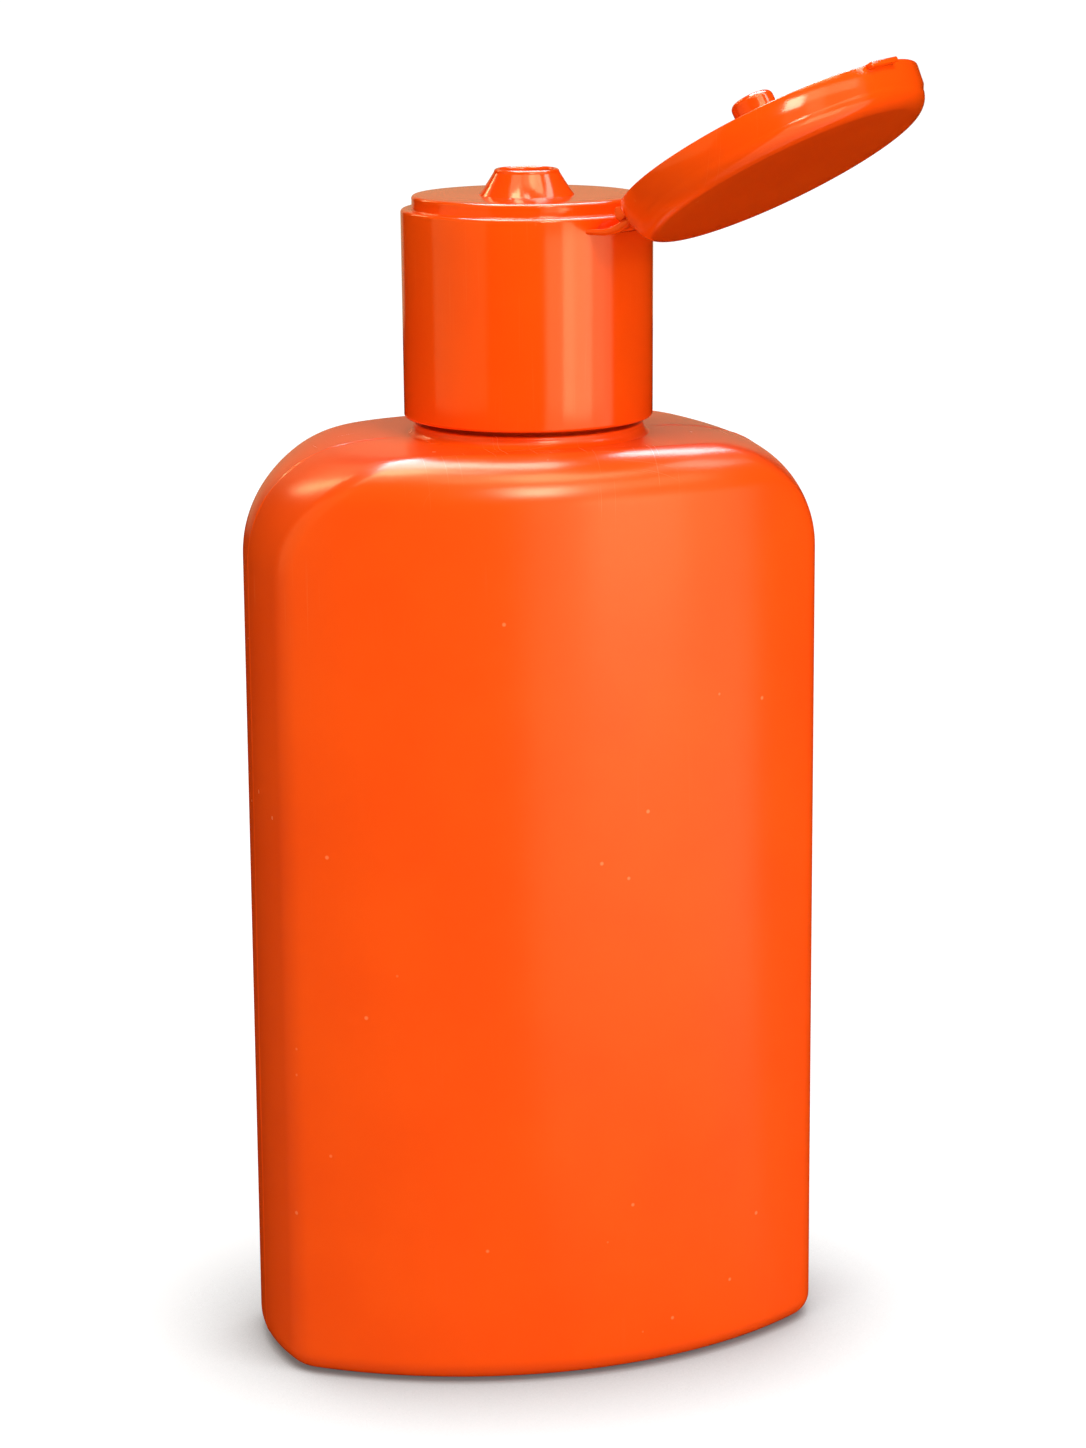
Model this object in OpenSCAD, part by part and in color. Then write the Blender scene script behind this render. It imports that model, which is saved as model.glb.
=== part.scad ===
// Squeeze bottle for oil: an oval blown body, a screw cap with a pouring spout and a snap lid that
// rests wide open on the cap's side. Millimetres. X runs across the width, Y through the thickness
// and Z up the neck; the origin is the middle of the base. The front is towards -Y.

/* [Body] */
// Height of the shoulder curve over the table
shoulder_h = 105.3; // [80:0.1:160]
// Width across the narrow sides
body_w = 65; // [60:0.2:80]
// Thickness through the middle of the faces
body_t = 41.4; // [38:0.2:46]
// Radius of the bow of the front and back faces
face_r = 50; // [42:1:70]
// Radius of the bow of the narrow sides
side_r = 31; // [26:0.5:38]
// Radius of the upright corners
corner_r = 5; // [4:0.1:7]
// Radius of the shoulders seen from the front
shoulder_r = 12.9; // [10:0.1:15]
// Slope at the end of the shoulder curve, in degrees
shoulder_slope = 8; // [5:0.1:12]
// How far the shoulder still rises from its curve to the neck, ever more level
shoulder_crown = 0.6; // [0.4:0.05:1.2]
// Radius of the edge where a face turns in to the shoulder
face_edge_r = 5; // [3.5:0.1:6]
// Radius of the edge round the base
foot_r = 2.6; // [1.4:0.1:3.4]
// Wall of the body
wall = 1.2; // [0.8:0.05:1.6]
// Thickness of the base
base_t = 1.5; // [1:0.05:3]

/* [Neck] */
// Height of the neck over the shoulder
neck_h = 24.2; // [18:0.05:30]
// Radius of the neck under its thread
neck_r = 11; // [10:0.05:12]
// Wall of the neck
neck_wall = 1.7; // [1.2:0.05:2.4]
// How far the collar at the foot of the neck stands out
bead_out = 2.4; // [1.6:0.05:2.6]
// Height of the collar over the shoulder
bead_h = 1.15; // [0.6:0.05:1.6]
// Depth of the thread
thread_h = 1.1; // [0.8:0.05:1.4]

/* [Cap] */
// Wall of the cap's skirt
skirt_wall = 1.4; // [1:0.05:1.8]
// How much wider the skirt is at its top than at its rim
skirt_draft = 0.1; // [0:0.05:0.3]
// Gap between the cap's rim and the collar
foot_gap = 0.65; // [0.4:0.05:2]
// Thickness of the deck over the neck
deck_t = 0.8; // [0.6:0.05:1.2]
// Width of the ledge round the raised disc
ledge_w = 1.22; // [0.8:0.02:1.6]
// Rise of the disc over the ledge
disc_rise = 1.5; // [1:0.05:2]
// Height of the spout over the disc
spout_h = 2.85; // [2:0.05:3.4]
// Radius of the spout at its lip
spout_r = 3.65; // [3.5:0.05:4.2]
// How much wider the spout's foot is than its lip
spout_flare = 3.3; // [2:0.1:4]
// Radius of the mouth at the lip
mouth_r = 2.95; // [2.9:0.01:3.05]
// Radius of the spout's bore under the lip
bore_r = 3.2; // [3.1:0.05:3.3]
// Length of the spout's tube below the disc
tube_len = 4.3; // [3:0.1:6]
// Length of the seal ring that plugs the neck
seal_len = 3.6; // [2:0.1:5]

/* [Lid] */
// How far the lid's rim stands out past the cap
lid_over = 3.4; // [3.2:0.05:3.8]
// How much narrower the lid's top is than its rim
lid_draft = 0.5; // [0.2:0.05:0.8]
// Wall of the lid's skirt
lid_wall = 1.2; // [0.9:0.05:1.4]
// Thickness of the lid's top
lid_top_t = 0.9; // [0.7:0.05:1.3]
// Radius of the edge round the lid's top
lid_edge_r = 2.2; // [1.6:0.05:2.4]
// Radius of the plug that closes the spout
plug_r = 2.4; // [2.2:0.02:2.44]
// How far the plug reaches past the lid's rim
plug_len = 4.7; // [3:0.1:4.8]
// Thickness of the ring that closes on the ledge
ring_t = 0.5; // [0.4:0.05:0.8]
// Angle that the lid opens to, in degrees
open_angle = 150.4; // [140:0.2:152]
// Direction of the hinge seen from above, in degrees from X
hinge_turn = -48.5; // [-90:0.5:0]
// Angle of the thumb tab from the point opposite the hinge, in degrees
tab_turn = 10; // [-20:1:20]
// Width of the thumb tab
tab_w = 4.5; // [3:0.1:8]
// How far the thumb tab stands out
tab_out = 0.7; // [0.4:0.05:1.2]

/* [Hinge] */
// Radius of the lid's hinge barrel
barrel_r = 0.68; // [0.62:0.01:0.75]
// Radius of the pin ends that turn in the eyes
pin_r = 0.5; // [0.4:0.01:0.54]
// Running clearance of the pin ends in the eyes
pin_clear = 0.05; // [0.03:0.01:0.08]
// Radius of the heads that keep the pin ends in the eyes
head_r = 0.72; // [0.68:0.01:0.76]
// Half the length of the barrel
barrel_half = 5.6; // [5:0.1:5.8]
// Thickness of each eye
eye_t = 0.7; // [0.5:0.05:0.9]
// Wall round the eyes' bores
eye_wall = 0.45; // [0.35:0.05:0.5]

/* [Hidden] */
body_orange = "#F4570F";
cap_orange = "#FA5C12";
$fn = 96;
ease = 0.05;
gap = 0.15;
// Body: half sizes, levels of the shoulder curve and steps of the loft
half_w = body_w / 2;
half_t = body_t / 2;
curve_z = shoulder_h - shoulder_r;
curve_end = 90 - shoulder_slope;
edge_turn = 80;
face_steps = 8;
corner_steps = 5;
side_steps = 3;
quarter_steps = face_steps + corner_steps + side_steps;
ring_steps = 4 * quarter_steps;
foot_steps = 4;
curve_steps = 11;
blend_steps = 3;
// Neck, cap and lid: each radius and level follows from the one that it seats on
neck_bore = neck_r - neck_wall;
bead_r = neck_r + bead_out;
loft_r = bead_r - 0.6;
loft_in = neck_bore + 0.5;
curve_half = half_w - shoulder_r * (1 - cos(curve_end));
curve_top = curve_z + shoulder_r * sin(curve_end);
crown_power = curve_half * tan(shoulder_slope) / shoulder_crown;
neck_z = curve_top + shoulder_crown;
bead_top = neck_z + bead_h;
neck_top = neck_z + neck_h;
skirt_in = neck_r + thread_h + 0.5;
skirt_r = skirt_in + skirt_wall;
skirt_top_r = skirt_r + skirt_draft;
cap_rim = bead_top + foot_gap;
deck_under = neck_top + ease;
ledge_z = deck_under + deck_t;
disc_z = ledge_z + disc_rise;
disc_r = skirt_top_r - ledge_w;
disc_under = disc_z - 1.2;
spout_z = disc_z + spout_h;
spout_lip = (spout_r - mouth_r) / 2;
seal_r = neck_bore - gap;
seal_wall = 0.8;
tube_r = bore_r + 1;
lid_r = skirt_top_r + lid_over;
lid_z = ledge_z + 0.7;
lid_roof = spout_z - lid_z + 0.1;
lid_h = lid_roof + lid_top_t;
ring_r = disc_r + 0.22;
ring_drop = lid_z - ledge_z - 0.1;
hinge_u = lid_r - 0.9;
eye_start = barrel_half + gap;
eye_end = eye_start + eye_t;
head_start = eye_end + ease;
head_t = 0.4;
horn_end = head_start + head_t + ease;
eye_bore = pin_r + pin_clear;
eye_r = eye_bore + eye_wall;

// Points along an arc round c from angle a0 to a1
function arc(c, r, a0, a1, n) =
    [for (i = [0:n]) let (t = a0 + (a1 - a0) * i / n) c + r * [cos(t), sin(t)]];

// A quarter of the body's section from (0, b) to (a, 0): the face's bow, the corner and the
// side's bow, each tangent to the next. cut draws all three in by the same amount.
function quarter(a, b, cut) =
    let (
        face_c = [0, b - face_r],
        side_c = [a - side_r, 0],
        face_d = face_r - corner_r,
        side_d = side_r - corner_r,
        v = side_c - face_c,
        len = norm(v),
        along = (face_d * face_d - side_d * side_d + len * len) / (2 * len),
        off = sqrt(face_d * face_d - along * along),
        e = v / len,
        corner_c = face_c + along * e + off * [e[1], -e[0]],
        to_corner = corner_c - face_c,
        from_side = corner_c - side_c,
        a1 = atan2(to_corner[1], to_corner[0]),
        a2 = atan2(from_side[1], from_side[0])
    )
    concat(
        [for (i = [0:face_steps - 1]) let (t = 90 + (a1 - 90) * i / face_steps)
            face_c + (face_r - cut) * [cos(t), sin(t)]],
        [for (i = [0:corner_steps - 1]) let (t = a1 + (a2 - a1) * i / corner_steps)
            corner_c + (corner_r - cut) * [cos(t), sin(t)]],
        [for (i = [0:side_steps]) let (t = a2 * (1 - i / side_steps))
            side_c + (side_r - cut) * [cos(t), sin(t)]]
    );

// The whole section, clockwise seen from above
function section(a, b, cut) =
    let (q = quarter(a, b, cut), last = quarter_steps)
    concat(
        [for (i = [0:last - 1]) q[i]],
        [for (i = [0:last - 1]) [q[last - i][0], -q[last - i][1]]],
        [for (i = [0:last - 1]) -q[i]],
        [for (i = [0:last - 1]) [-q[last - i][0], q[last - i][1]]]
    );

function lift(ring, z) = [for (p = ring) [p[0], p[1], z]];

// A ring of half width a, lifted to z and then the more the nearer it is to the middle of its width
function crown(ring, a, z, share) =
    [for (p = ring) [p[0], p[1], z + share * shoulder_crown * (1 - pow(abs(p[0]) / a, crown_power))]];

// A section carried part of the way, t, to a circle of radius r
function to_circle(ring, r, t) = [for (p = ring) p * (1 - t) + p / norm(p) * r * t];

// How far a face stands back at height z, where its top edge turns in
function edge_in(z) =
    let (h = z - (curve_top - face_edge_r * sin(edge_turn)))
    h <= 0 ? 0 : face_edge_r - sqrt(face_edge_r * face_edge_r - h * h);

// Rings of the body's skin from the base up to the neck, drawn in by cut all over
function foot_rings(cut, floor_z) =
    let (r = foot_r - cut / 2)
    [for (i = [0:foot_steps]) let (t = 90 * i / foot_steps)
        lift(section(half_w, half_t, cut + r * (1 - sin(t))), floor_z + r * (1 - cos(t)))];

function curve_rings(cut) =
    [for (i = [0:curve_steps]) let (
        t = curve_end * i / curve_steps,
        outer_z = curve_z + shoulder_r * sin(t),
        z = outer_z - cut * sin(t),
        a = half_w - shoulder_r * (1 - cos(t)) + cut * (1 - cos(t))
    ) crown(section(a, half_t - edge_in(outer_z), cut), a, z, pow(sin(t) / sin(curve_end), 2))];

function blend_rings(cut, r) =
    let (
        a = curve_half + cut * (1 - cos(curve_end)),
        start = section(a, half_t - edge_in(curve_top), cut),
        z0 = curve_top - cut * sin(curve_end)
    )
    [for (i = [1:blend_steps]) let (t = i / blend_steps)
        crown(to_circle(start, r, t), a, z0 + shoulder_crown * t, 1 - t)];

function skin(cut, floor_z, r) =
    concat(foot_rings(cut, floor_z), curve_rings(cut), blend_rings(cut, r));

// Two triangles for each step between neighbouring rings of n points, and a face at each end
function band(j, n) = [for (i = [0:n - 1]) let (
        a = j * n + i,
        b = j * n + (i + 1) % n
    ) each [[a, b, b + n], [a, b + n, a + n]]];

module body_shell() {
    inner = skin(wall, base_t, loft_in);
    rings = concat(skin(0, 0, loft_r), [for (i = [len(inner) - 1:-1:0]) inner[i]]);
    polyhedron(
        points = [for (ring = rings) each ring],
        faces = concat(
            [[for (i = [ring_steps - 1:-1:0]) i]],
            [for (j = [0:len(rings) - 2]) each band(j, ring_steps)],
            [[for (i = [0:ring_steps - 1]) (len(rings) - 1) * ring_steps + i]]
        ),
        convexity = 6
    );
}

// Neck with its collar. Its foot lies inside the body's wall.
module neck() {
    lip = 0.4;
    rotate_extrude() polygon(concat(
        [[neck_bore, neck_z - wall - 0.4], [bead_r, neck_z - 0.5], [bead_r, bead_top - lip / 2]],
        [[bead_r - lip / 2, bead_top], [neck_r, bead_top]],
        arc([neck_r - lip, neck_top - lip], lip, 0, 90, 4),
        [[neck_bore, neck_top]]
    ));
}

module bottle() {
    color(body_orange) union() {
        body_shell();
        neck();
    }
}

// The spout's hollow flank, from its foot on the disc up to its lip
function spout_flank(n) =
    let (rise = spout_h - spout_lip, hollow = 2.4)
    [for (i = [0:n]) let (t = i / n)
        [spout_r + spout_flare * pow(1 - t, hollow), disc_z + rise * t]];

// The cap's section: skirt, ledge, disc, spout, the spout's tube and the seal ring
module cap_turned() {
    soft = 0.35;
    rotate_extrude() polygon(concat(
        [[skirt_in, cap_rim], [skirt_r - soft, cap_rim]],
        arc([skirt_r - soft, cap_rim + soft], soft, -60, 0, 2),
        arc([skirt_top_r - soft, ledge_z - soft], soft, 0, 90, 3),
        [[disc_r, ledge_z]],
        arc([disc_r - soft, disc_z - soft], soft, 0, 90, 3),
        spout_flank(8),
        arc([spout_r - spout_lip, spout_z - spout_lip], spout_lip, 20, 180, 6),
        [[mouth_r, spout_z - 0.9], [bore_r, spout_z - 1.2], [bore_r, disc_z - tube_len]],
        [[tube_r - 0.4, disc_z - tube_len], [tube_r, disc_under]],
        [[seal_r - seal_wall, disc_under], [seal_r - seal_wall, deck_under - seal_len]],
        [[seal_r - 0.3, deck_under - seal_len], [seal_r, deck_under - seal_len + 0.8]],
        [[seal_r, deck_under], [skirt_in, deck_under]]
    ));
}

// Turns to the hinge's side: X runs out over the hinge and Y along its pin
module at_hinge_side() {
    rotate([0, 0, hinge_turn]) children();
}

// A flat shape drawn in X and Z, filling Y from y0 to y1
module slab(y0, y1) {
    translate([0, y1, 0]) rotate([90, 0, 0]) linear_extrude(y1 - y0) children();
}

// A round bar along the hinge's axis from y0 to y1
module bar(r, y0, y1) {
    slab(y0, y1) translate([hinge_u, lid_z]) circle(r, $fn = 48);
}

// The lip under a pin head: a thin curved bar that leaves the wall level and rises under the pin
module horn_shape() {
    low = [hinge_u - 2.6, lid_z - 2.56];
    sweep = 5.7;
    top = [hinge_u + 0.85, lid_z - 0.55];
    root = skirt_in + 0.3 - 1.6;
    polygon(concat(
        [[root, low[1]]],
        arc(low + [0, sweep], sweep, 264, 313, 7),
        [top, [hinge_u - 0.2, lid_z - 0.97], [hinge_u - 1.1, lid_z - 1.48]],
        [[hinge_u - 2.4, lid_z - 1.84], [hinge_u - 3.8, lid_z - 1.98], [root, lid_z - 2]]
    ));
}

// The low web between the lips, hidden behind them, which the open lid comes to rest on. It starts
// inside the wall.
module web() {
    half = barrel_half + 2 * ease;
    root = skirt_in - 1.6;
    difference() {
        slab(-half, half) polygon([
            [root, lid_z - 2.5], [skirt_top_r + 0.5, lid_z - 2.45], [hinge_u - 0.6, lid_z - 2.1],
            [hinge_u + 0.3, lid_z - 1.5], [hinge_u - 0.3, lid_z - 1.35], [root, lid_z - 2.1]
        ]);
        translate([0, 0, lid_z - 3]) cylinder(r = skirt_in + skirt_wall / 4, h = 2);
    }
}

// Everything that the open lid's outside takes up, eased by the gap that the stop leaves
module lid_outside() {
    swing_lid(open_angle) translate([0, 0, lid_z - ease]) rotate_extrude() polygon([
        [0, 0], [lid_r + ease, 0], [lid_r - lid_draft + ease, lid_h + ease], [0, lid_h + ease]
    ]);
}

module hinge_lips() {
    difference() {
        union() {
            for (s = [0, 1]) mirror([0, s, 0]) slab(barrel_half + ease, horn_end) horn_shape();
            web();
        }
        lid_outside();
        for (s = [0, 1]) mirror([0, s, 0]) bar(head_r + gap, eye_end, horn_end + 1);
    }
}

// An eye: a ring round the pin end, open at its upper inner side so that the pin snaps in
module eye() {
    slab(eye_start, eye_end) translate([hinge_u, lid_z]) difference() {
        circle(eye_r, $fn = 48);
        circle(eye_bore, $fn = 48);
        rotate(118) translate([0, -0.33]) square([2 * eye_r, 0.66]);
    }
}

// The shallow scoop in the wall between the horns, deepest at its foot
module pocket() {
    depth = 0.65;
    foot_z = ledge_z - 1.9;
    end_z = ledge_z - 0.35;
    top_half = 4.75;
    foot_half = 6.45;
    intersection() {
        rotate_extrude() polygon([
            [skirt_r - depth, foot_z], [skirt_top_r + 1, foot_z],
            [skirt_top_r + 1, end_z], [skirt_top_r, end_z]
        ]);
        translate([skirt_in - 2, 0, 0]) rotate([90, 0, 90]) linear_extrude(4) polygon([
            [-foot_half, foot_z], [-top_half, end_z], [top_half, end_z], [foot_half, foot_z]
        ]);
    }
}

module cap_base() {
    color(cap_orange) union() {
        difference() {
            cap_turned();
            at_hinge_side() pocket();
        }
        at_hinge_side() {
            difference() {
                hinge_lips();
                for (s = [0, 1]) mirror([0, s, 0]) bar(eye_bore, 0, horn_end + 1);
            }
            for (s = [0, 1]) mirror([0, s, 0]) eye();
        }
    }
}

// Swings its children about the hinge's pin by the angle from closed
module swing_lid(angle) {
    translate([hinge_u, 0, lid_z]) rotate([0, angle, 0]) translate([-hinge_u, 0, -lid_z]) children();
}

// The lid's section as it lies closed: top, skirt, plug and seat ring
module lid_turned() {
    tip = 0.7;
    fillet = 1.1;
    inner_top = lid_r - lid_draft - lid_wall;
    rotate_extrude() translate([0, lid_z]) polygon(concat(
        [[0, -plug_len]],
        arc([plug_r - tip, tip - plug_len], tip, -90, 0, 4),
        [[plug_r, lid_roof - 0.8], [mouth_r - 0.1, lid_roof - 0.1], [mouth_r, lid_roof]],
        [[ring_r, lid_roof], [ring_r, -ring_drop], [ring_r + ring_t, -ring_drop]],
        [[ring_r + ring_t, lid_roof]],
        arc([inner_top - fillet, lid_roof - fillet], fillet, 90, 5, 4),
        [[lid_r - lid_wall, 0], [lid_r, 0]],
        arc([lid_r - lid_draft - lid_edge_r, lid_h - lid_edge_r], lid_edge_r, 0, 90, 6),
        [[0, lid_h]]
    ));
}

module thumb_tab() {
    tab_t = 0.6;
    rotate([0, 0, 180 + tab_turn]) translate([lid_r - lid_wall / 2, -tab_w / 2, lid_z])
        cube([lid_wall / 2 + tab_out, tab_w, tab_t]);
}

module closed_lid() {
    notch_r = eye_r + 0.2;
    difference() {
        lid_turned();
        for (s = [0, 1]) mirror([0, s, 0]) bar(notch_r, barrel_half, horn_end + gap);
    }
    thumb_tab();
    bar(barrel_r, -barrel_half, barrel_half);
    for (s = [0, 1]) mirror([0, s, 0]) {
        bar(pin_r, barrel_half - 0.5, head_start + ease);
        bar(head_r, head_start, head_start + head_t);
    }
}

module lid() {
    color(cap_orange) at_hinge_side() swing_lid(open_angle) closed_lid();
}

bottle();
cap_base();
lid();
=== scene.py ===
# Oil bottle in orange plastic: the blown body, the moulded cap and its open snap lid.
# Sizes are in millimetres until a mesh is made. The front is towards -Y and Z runs up the neck.
import math

import bmesh
import bpy
import numpy as np
from mathutils import Matrix, Vector, noise


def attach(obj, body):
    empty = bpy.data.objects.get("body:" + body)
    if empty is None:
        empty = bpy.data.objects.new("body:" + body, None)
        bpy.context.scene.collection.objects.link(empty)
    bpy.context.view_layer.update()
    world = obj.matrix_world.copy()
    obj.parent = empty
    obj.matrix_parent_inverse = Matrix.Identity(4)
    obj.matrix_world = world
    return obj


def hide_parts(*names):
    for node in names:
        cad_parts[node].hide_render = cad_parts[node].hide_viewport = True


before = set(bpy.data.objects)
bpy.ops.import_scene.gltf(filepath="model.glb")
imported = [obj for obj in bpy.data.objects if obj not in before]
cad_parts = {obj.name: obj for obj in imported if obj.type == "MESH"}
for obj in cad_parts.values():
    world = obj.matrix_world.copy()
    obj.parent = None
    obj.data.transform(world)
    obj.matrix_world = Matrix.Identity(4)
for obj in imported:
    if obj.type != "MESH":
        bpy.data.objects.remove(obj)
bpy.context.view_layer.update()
scene = bpy.context.scene
mm = 0.001


def linearColour(code):
    parts = [int(code[i:i + 2], 16) / 255 for i in (1, 3, 5)]
    return (*[c / 12.92 if c <= 0.04045 else ((c + 0.055) / 1.055) ** 2.4 for c in parts], 1)


def addNode(tree, kind, settings=None, links=None):
    node = tree.nodes.new(kind)
    for key, value in (settings or {}).items():
        if isinstance(key, int) or key in node.inputs:
            node.inputs[key].default_value = value
        else:
            setattr(node, key, value)
    for key, socket in (links or {}).items():
        tree.links.new(socket, node.inputs[key])
    return node


def arcPoints(centre, radius, start, end, steps):
    turn = np.radians(np.linspace(start, end, steps + 1))
    return [(centre[0] + radius * math.cos(t), centre[1] + radius * math.sin(t)) for t in turn]


def thingFrom(name, points, faces, edges=()):
    mesh = bpy.data.meshes.new(name)
    mesh.from_pydata([tuple(p) for p in np.asarray(points, float) * mm], list(edges), faces)
    thing = bpy.data.objects.new(name, mesh)
    scene.collection.objects.link(thing)
    return thing


# Turns what the modifiers make of a piece into its plain mesh
def settle(thing):
    now = thing.evaluated_get(bpy.context.evaluated_depsgraph_get())
    mesh = bpy.data.meshes.new_from_object(now)
    thing.modifiers.clear()
    thing.data = mesh
    return thing


def mendNormals(thing, merge=0.0):
    work = bmesh.new()
    work.from_mesh(thing.data)
    if merge:
        bmesh.ops.remove_doubles(work, verts=work.verts, dist=merge * mm)
    bmesh.ops.recalc_face_normals(work, faces=work.faces)
    work.to_mesh(thing.data)
    work.free()
    return thing


def joinInto(thing, others):
    work = bmesh.new()
    work.from_mesh(thing.data)
    for other in others:
        work.from_mesh(other.data)
        bpy.data.objects.remove(other)
    work.to_mesh(thing.data)
    work.free()
    return thing


def cutWith(thing, cutter):
    step = thing.modifiers.new("cut", "BOOLEAN")
    step.operation, step.object, step.solver = "DIFFERENCE", cutter, "EXACT"
    settle(thing)
    bpy.data.objects.remove(cutter)
    return thing


def roundEdges(thing, width, segments=3):
    step = thing.modifiers.new("edges", "BEVEL")
    step.width, step.segments, step.limit_method = width * mm, segments, "ANGLE"
    step.angle_limit = math.radians(40)
    return settle(thing)


# A closed outline in X and Z that fills Y from one level to another
def prism(name, outline, low, high):
    count = len(outline)
    points = [(x, y, z) for y in (low, high) for x, z in outline]
    faces = [tuple(range(count)), tuple(range(2 * count - 1, count - 1, -1))]
    faces += [(i, (i + 1) % count, (i + 1) % count + count, i + count) for i in range(count)]
    return mendNormals(thingFrom(name, points, faces))


def smoothSurface(thing, angle=35):
    thing.data.shade_smooth()
    thing.data.set_sharp_from_angle(angle=math.radians(angle))


# Materials

plasticFinish = {
    "body": {
        "deep": "#F54B05", "plain": "#F84F06", "mark": "#FF9A62",
        "roughness": 0.25, "waveSize": 17.0, "waveDepth": 0.035, "peelSize": 1.1, "peelDepth": 0.0012,
        "scratches": 0.2, "specks": 0.45, "marksFrom": 84, "marksTo": 100,
    },
    "cap": {
        "deep": "#F44A05", "plain": "#F74E06", "mark": "#FF9052",
        "roughness": 0.13, "waveSize": 9.0, "waveDepth": 0.006, "peelSize": 0.7, "peelDepth": 0.0006,
        "scratches": 0.1, "specks": 0.15, "marksFrom": 100, "marksTo": 125,
    },
}


# An orange pigmented plastic: a slightly uneven colour and wall, handling scratches and specks
def orangePlastic(name, finish):
    material = bpy.data.materials.new(name)
    material.use_nodes = True
    tree = material.node_tree
    tree.nodes.clear()
    place = addNode(tree, "ShaderNodeTexCoord").outputs["Object"]
    mottle = addNode(tree, "ShaderNodeTexNoise", {"Scale": 1 / (14 * mm), "Detail": 3.0}, {"Vector": place})
    tone = addNode(tree, "ShaderNodeMapRange", {"From Min": 0.35, "From Max": 0.65}, {"Value": mottle.outputs["Fac"]})
    colour = addNode(
        tree, "ShaderNodeMix",
        {"data_type": "RGBA", 6: linearColour(finish["deep"]), 7: linearColour(finish["plain"])},
        {0: tone.outputs["Result"]},
    )
    # Fine scratches: noise stretched to hair lines in two directions, kept in worn patches high up
    worn = addNode(tree, "ShaderNodeTexNoise", {"Scale": 1 / (21 * mm), "Detail": 2.0}, {"Vector": place})
    patches = addNode(tree, "ShaderNodeMapRange", {"From Min": 0.5, "From Max": 0.66}, {"Value": worn.outputs["Fac"]})
    height = addNode(tree, "ShaderNodeSeparateXYZ", None, {0: place}).outputs["Z"]
    handled = addNode(
        tree, "ShaderNodeMapRange",
        {"From Min": finish["marksFrom"] * mm, "From Max": finish["marksTo"] * mm, "To Min": 0.08}, {"Value": height},
    )
    lines = None
    for turn, stretch in (((0.35, 0.5, 0.2), (70, 9000, 70)), ((0.9, -0.4, 1.1), (8000, 60, 60))):
        turned = addNode(tree, "ShaderNodeMapping", {"Rotation": turn, "Scale": stretch}, {"Vector": place})
        hair = addNode(
            tree, "ShaderNodeTexNoise", {"Scale": 1.0, "Detail": 1.0}, {"Vector": turned.outputs["Vector"]}
        )
        line = addNode(
            tree, "ShaderNodeMapRange", {"From Min": 0.69, "From Max": 0.76}, {"Value": hair.outputs["Fac"]}
        ).outputs["Result"]
        if lines is None:
            lines = line
        else:
            lines = addNode(tree, "ShaderNodeMath", {"operation": "MAXIMUM"}, {0: lines, 1: line}).outputs[0]
    worst = addNode(
        tree, "ShaderNodeMath", {"operation": "MULTIPLY"}, {0: handled.outputs[0], 1: patches.outputs["Result"]}
    )
    scratched = addNode(tree, "ShaderNodeMath", {"operation": "MULTIPLY"}, {0: lines, 1: worst.outputs[0]})
    scratches = addNode(
        tree, "ShaderNodeMath", {"operation": "MULTIPLY", 1: finish["scratches"]}, {0: scratched.outputs[0]}
    )
    # Specks of dust and small nicks, about 0.2 mm wide, one here and there
    cells = addNode(tree, "ShaderNodeTexVoronoi", {"Scale": 1 / (5.5 * mm)}, {"Vector": place})
    dot = addNode(
        tree, "ShaderNodeMapRange", {"From Min": 0.05, "From Max": 0.025, "To Max": finish["specks"]},
        {"Value": cells.outputs["Distance"]},
    )
    marks = addNode(
        tree, "ShaderNodeMath", {"operation": "MAXIMUM", "use_clamp": True},
        {0: scratches.outputs[0], 1: dot.outputs["Result"]},
    )
    skin = addNode(
        tree, "ShaderNodeMix", {"data_type": "RGBA", 7: linearColour(finish["mark"])},
        {0: marks.outputs[0], 6: colour.outputs[2]},
    )
    rough = addNode(
        tree, "ShaderNodeMapRange",
        {"To Min": finish["roughness"], "To Max": finish["roughness"] + 0.25}, {"Value": marks.outputs[0]},
    )
    # The wall's slow waves, then the fine peel that the mould leaves
    waves = addNode(
        tree, "ShaderNodeTexNoise", {"Scale": 1 / (finish["waveSize"] * mm), "Detail": 1.5}, {"Vector": place}
    )
    peel = addNode(
        tree, "ShaderNodeTexNoise", {"Scale": 1 / (finish["peelSize"] * mm), "Detail": 2.0}, {"Vector": place}
    )
    wavy = addNode(
        tree, "ShaderNodeBump", {"Strength": 1.0, "Distance": finish["waveDepth"] * mm},
        {"Height": waves.outputs["Fac"]},
    )
    fine = addNode(
        tree, "ShaderNodeBump", {"Strength": 1.0, "Distance": finish["peelDepth"] * mm},
        {"Height": peel.outputs["Fac"], "Normal": wavy.outputs["Normal"]},
    )
    nicked = addNode(
        tree, "ShaderNodeBump", {"Strength": 0.4, "Distance": 0.01 * mm, "invert": True},
        {"Height": marks.outputs[0], "Normal": fine.outputs["Normal"]},
    )
    surface = addNode(
        tree, "ShaderNodeBsdfPrincipled",
        {"IOR": 1.5, "Specular IOR Level": 0.4, "Specular Tint": (1.0, 0.82, 0.42, 1.0)},
        {"Base Color": skin.outputs[2], "Roughness": rough.outputs["Result"], "Normal": nicked.outputs["Normal"]},
    )
    addNode(tree, "ShaderNodeOutputMaterial", None, {"Surface": surface.outputs["BSDF"]})
    return material


# High-density polythene, extrusion blown: satin gloss, a wall that waves a little, soft highlights
blownPolythene = orangePlastic("blownPolythene", plasticFinish["body"])
# Polypropylene, injection moulded in a polished mould: harder gloss and crisper highlights
mouldedPolypropylene = orangePlastic("mouldedPolypropylene", plasticFinish["cap"])


# Geometry Nodes trees

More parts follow.
